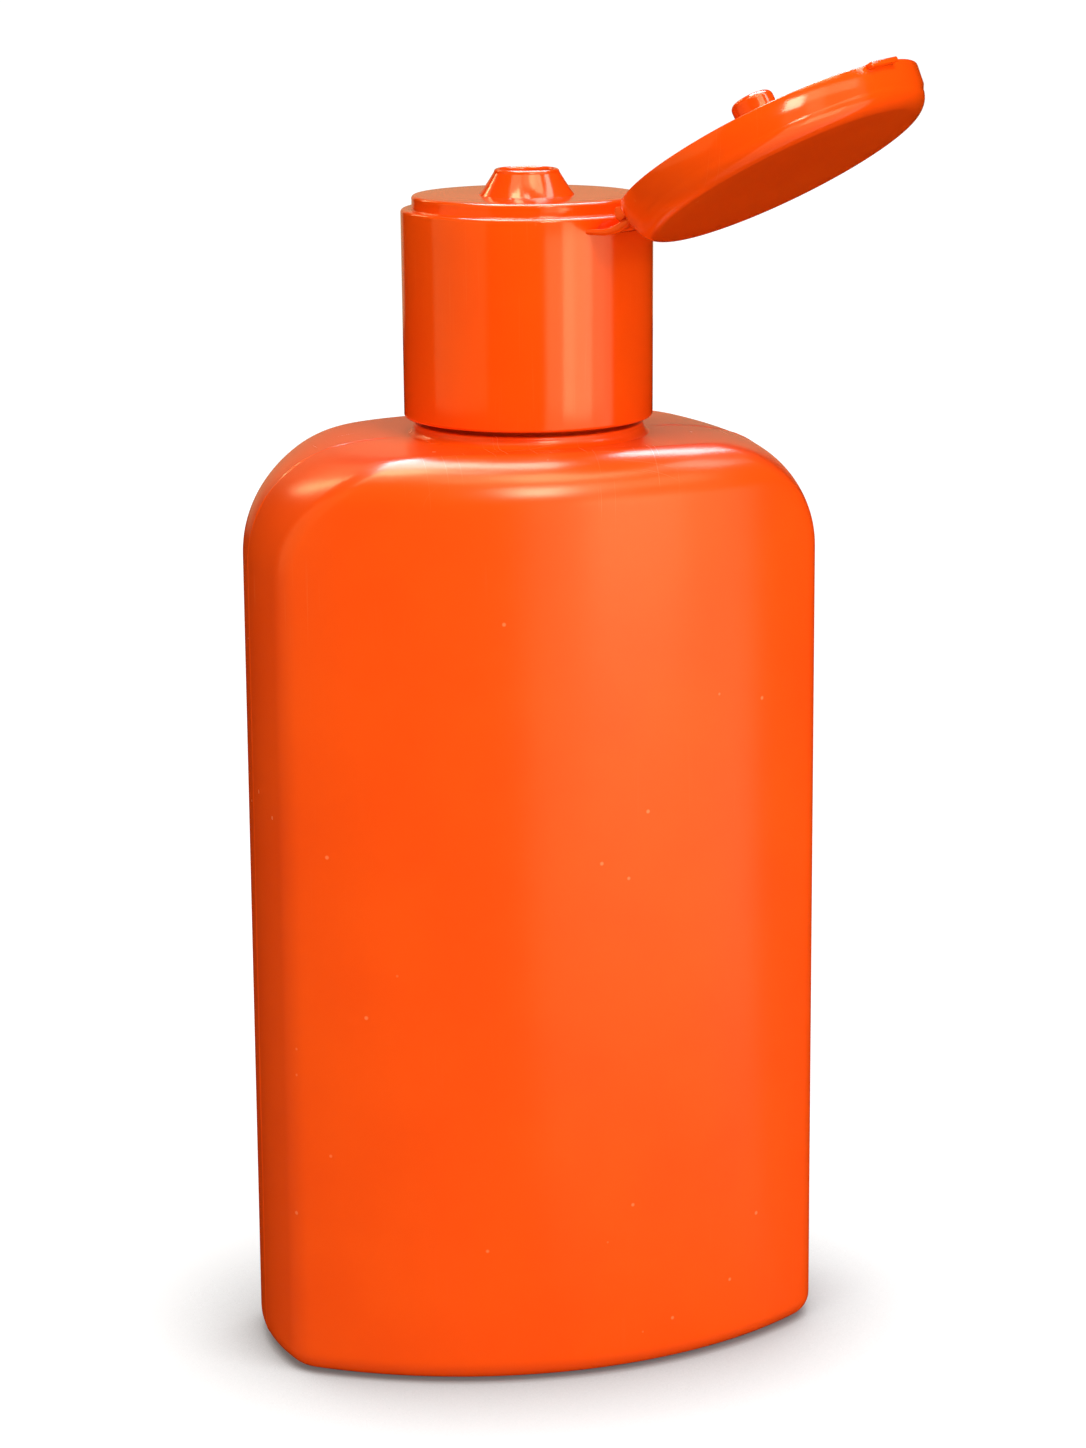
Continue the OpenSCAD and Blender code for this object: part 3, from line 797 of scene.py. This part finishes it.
def makeSnapLid():
    piece = turnedPiece("snapLid", lidSection(), False, lid["stepsRound"])
    for side in (1, -1):
        ends = sorted((side * hinge["barrelHalf"], side * (hornEnd + 0.15)))
        cutWith(piece, roundBar("notch", eyeRadius + 0.2, *ends))
    parts = [roundBar("barrel", hinge["barrelRadius"], -hinge["barrelHalf"], hinge["barrelHalf"])]
    for side in (1, -1):
        pin = sorted((side * (hinge["barrelHalf"] - 0.5), side * (headStart + 0.05)))
        head = sorted((side * headStart, side * (headStart + hinge["headThick"])))
        parts.append(roundBar("pin", hinge["pinRadius"], *pin))
        parts.append(roundEdges(roundBar("head", hinge["headRadius"], *head), 0.1))
    # The thumb tab opposite the hinge
    near, far, tabTop = lidRadius - lid["wall"] / 2, lidRadius + lid["tabOut"], lidZ + lid["tabThick"]
    outline = [(near, lidZ), (far, lidZ), (far, tabTop), (near, tabTop)]
    tab = prism("tab", outline, -lid["tabWidth"] / 2, lid["tabWidth"] / 2)
    roundEdges(tab, 0.16)
    tab.data.transform(Matrix.Rotation(math.radians(180 + lid["tabTurn"]), 4, "Z"))
    joinInto(piece, parts + [tab])
    piece.data.transform(toHingeSide @ swingOpen)
    smoothSurface(piece)
    return piece


snapLid = makeSnapLid()
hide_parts("lid")
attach(snapLid, "lid")
print("lid", len(snapLid.data.polygons), "faces")


# Floor, background, lights and camera

studio = {
    "floorHalf": 4.0, "floorWhite": 1.0, "floorShade": 0.2, "floorBounce": 0.55,
    # The painted contact shadow on the floor: how dark its glow gets and how far from the bottle the darkening
    # reaches
    "paintedShadowDark": 0.3, "paintedShadowReach": 0.032,
    "roomLight": 0.3, "roomInGloss": 0.0,
    "tones": {"plain": "#FFFFFF", "warm": "#FFEFB7", "cool": "#CBDDFF"},
    # A painted reflection for the bottle's gloss: the floor glows, from one bearing to another, as if lit under the
    # key light
    "floorGlow": 2.0, "glowFrom": 1.0, "glowTo": 68.0, "glowSoft": 3.0, "glowNear": 0.03, "glowFar": 0.25,
    "lens": 96.277, "shift": (-0.02266, -0.00008), "position": (-0.110454, -0.419168, 0.17091),
    "yaw": 15.443, "pitch": 12.882, "roll": -0.301,
}
# Each lamp's bearing in degrees to the right of the front, its distance, height, width and tall in metres,
# its radiance and its tone
lamps = {
    "keyWide": (30.5, 0.47, 0.21, 0.54, 0.42, 0.8, "plain"),
    "keyLow": (31, 0.465, 0.07, 0.234, 0.14, 2.7, "plain"),
    "keyHigh": (28, 0.465, 0.35, 0.5, 0.14, 2.5, "plain"),
    "keyCore": (22.5, 0.46, 0.21, 0.09, 0.42, 1.4, "plain"),
    "topRight": (25, 0.35, 0.6, 0.3, 0.2, 9.0, "plain"),
    "topFront": (-5, 0.35, 0.6, 0.3, 0.2, 4.0, "plain"),
    "topLeft": (-60, 0.3, 0.6, 0.25, 0.2, 4.0, "plain"),
    "leftWide": (-80.5, 0.47, 0.21, 0.55, 0.42, 0.85, "warm"),
    "backTop": (175, 0.35, 0.6, 0.4, 0.15, 1.0, "warm"),
    "behindLeft": (-158, 0.5, 0.42, 0.3, 0.16, 0.8, "warm"),
    "backdrop": (171, 0.9, 0.2, 0.68, 0.4, 0.45, "warm"),
}
# Small bright panels that light only the gloss, to place the highlights
sparkles = {
    "overhead": (152, 0.17, 0.62, 0.46, 0.46, 27.0, "cool"),
    "overRight": (72, 0.33, 0.5, 0.1, 0.26, 14.0, "cool"),
    "overLeft": (-64, 0.16, 0.58, 0.12, 0.14, 20.0, "plain"),
    "spoutSpark": (-14, 0.155, 0.6, 0.08, 0.05, 24.0, "cool"),
    "lidSpark": (5, 0.47, 0.31, 0.12, 0.16, 34.0, "cool"),
    "edgeSpark": (-151, 0.5, 0.42, 0.04, 0.2, 13.0, "warm"),
}


def makeFloor():
    half = studio["floorHalf"] / mm
    corners = [(x * half, y * half, -0.1) for x, y in ((-1, -1), (1, -1), (1, 1), (-1, 1))]
    floor = thingFrom("floor", corners, [(0, 1, 2, 3)])
    material = bpy.data.materials.new("paleFloor")
    material.use_nodes = True
    tree = material.node_tree
    tree.nodes.clear()
    rays = addNode(tree, "ShaderNodeLightPath")
    # Seen by the camera the sheet glows white, with a painted contact shadow: ambient occlusion dims the glow where
    # the bottle stands close over it, while a thin diffuse paint takes the real shadow
    near = addNode(tree, "ShaderNodeAmbientOcclusion", {"Distance": studio["paintedShadowReach"], "samples": 8})
    paintedShadowDarkest = studio["paintedShadowDark"] - studio["floorShade"]
    tone = addNode(
        tree, "ShaderNodeMapRange",
        {"From Min": 0.35, "From Max": 0.97, "To Min": paintedShadowDarkest, "To Max": studio["floorWhite"]},
        {"Value": near.outputs["AO"]},
    )
    white = addNode(tree, "ShaderNodeEmission", {"Color": (1, 1, 1, 1)}, {"Strength": tone.outputs["Result"]})
    paint = addNode(tree, "ShaderNodeBsdfDiffuse", {"Color": (studio["floorShade"],) * 3 + (1,)})
    both = addNode(tree, "ShaderNodeAddShader", None, {0: white.outputs[0], 1: paint.outputs[0]})
    bounce = addNode(tree, "ShaderNodeBsdfDiffuse", {"Color": (studio["floorBounce"],) * 3 + (1,)})
    # Seen in gloss it glows in one sector only, so that the plastic keeps its dark bands
    place = addNode(tree, "ShaderNodeTexCoord").outputs["Object"]
    apart = addNode(tree, "ShaderNodeSeparateXYZ", None, {0: place}).outputs
    ahead = addNode(tree, "ShaderNodeMath", {"operation": "MULTIPLY", 1: -1.0}, {0: apart["Y"]})
    bearing = addNode(tree, "ShaderNodeMath", {"operation": "ARCTAN2"}, {0: apart["X"], 1: ahead.outputs[0]})
    reach = addNode(tree, "ShaderNodeVectorMath", {"operation": "LENGTH"}, {0: place})
    glow = addNode(
        tree, "ShaderNodeMapRange",
        {"From Min": studio["glowNear"], "From Max": studio["glowFar"], "To Max": studio["floorGlow"]},
        {"Value": reach.outputs["Value"]},
    ).outputs[0]
    for edge, way in ((studio["glowFrom"], 1), (studio["glowTo"], -1)):
        ends = [math.radians(edge + way * side * studio["glowSoft"]) for side in (-1, 1)]
        inside = addNode(
            tree, "ShaderNodeMapRange",
            {"interpolation_type": "SMOOTHSTEP", "From Min": ends[0], "From Max": ends[1]},
            {"Value": bearing.outputs[0]},
        )
        glow = addNode(tree, "ShaderNodeMath", {"operation": "MULTIPLY"}, {0: glow, 1: inside.outputs[0]}).outputs[0]
    glossOnlyFloorGlow = addNode(tree, "ShaderNodeEmission", {"Color": (1, 1, 1, 1)}, {"Strength": glow})
    unseen = addNode(
        tree, "ShaderNodeMixShader", None,
        {0: rays.outputs["Is Glossy Ray"], 1: bounce.outputs[0], 2: glossOnlyFloorGlow.outputs[0]},
    )
    mix = addNode(
        tree, "ShaderNodeMixShader", None,
        {0: rays.outputs["Is Camera Ray"], 1: unseen.outputs[0], 2: both.outputs[0]},
    )
    addNode(tree, "ShaderNodeOutputMaterial", None, {"Surface": mix.outputs[0]})
    floor.data.materials.append(material)


# White to the camera, dim as light, and dark to the gloss, which shows only the lamps, the panels and the floor's
# painted glow
def makeWorld():
    scene.world = bpy.data.worlds.new("paleRoom")
    scene.world.use_nodes = True
    tree = scene.world.node_tree
    tree.nodes.clear()
    rays = addNode(tree, "ShaderNodeLightPath")
    dim, white, gloss = (
        addNode(tree, "ShaderNodeBackground", {"Color": (1, 1, 1, 1), "Strength": strength})
        for strength in (studio["roomLight"], 1.0, studio["roomInGloss"])
    )
    unseen = addNode(
        tree, "ShaderNodeMixShader", None,
        {0: rays.outputs["Is Glossy Ray"], 1: dim.outputs[0], 2: gloss.outputs[0]},
    )
    mix = addNode(
        tree, "ShaderNodeMixShader", None,
        {0: rays.outputs["Is Camera Ray"], 1: unseen.outputs[0], 2: white.outputs[0]},
    )
    addNode(tree, "ShaderNodeOutputWorld", None, {"Surface": mix.outputs[0]})


def makeLamps():
    for name, (bearing, distance, height, width, tall, radiance, tone) in {**lamps, **sparkles}.items():
        data = bpy.data.lights.new(name, "AREA")
        data.shape, data.size, data.size_y = "RECTANGLE", width, tall
        data.energy = radiance * math.pi * width * tall
        data.color = linearColour(studio["tones"][tone])[:3]
        lamp = bpy.data.objects.new(name, data)
        turn = math.radians(bearing)
        lamp.location = (distance * math.sin(turn), -distance * math.cos(turn), height)
        target = Vector((0, 0, min(height, 0.1)))
        lamp.rotation_euler = (target - lamp.location).to_track_quat("-Z", "Y").to_euler()
        lamp.visible_camera = False
        lamp.visible_diffuse = name not in sparkles
        scene.collection.objects.link(lamp)


def makeCamera():
    data = bpy.data.cameras.new("camera")
    data.lens, data.sensor_width, data.clip_start = studio["lens"], 36, 0.01
    data.shift_x, data.shift_y = studio["shift"]
    camera = bpy.data.objects.new("camera", data)
    camera.location = studio["position"]
    turn = (
        Matrix.Rotation(math.radians(-studio["yaw"]), 3, "Z")
        @ Matrix.Rotation(math.radians(90 - studio["pitch"]), 3, "X")
        @ Matrix.Rotation(math.radians(studio["roll"]), 3, "Z")
    )
    camera.rotation_euler = turn.to_euler()
    scene.collection.objects.link(camera)
    scene.camera = camera


makeFloor()
makeWorld()
makeLamps()
makeCamera()
scene.view_settings.view_transform = "Standard"
print("floor, lights and camera set")
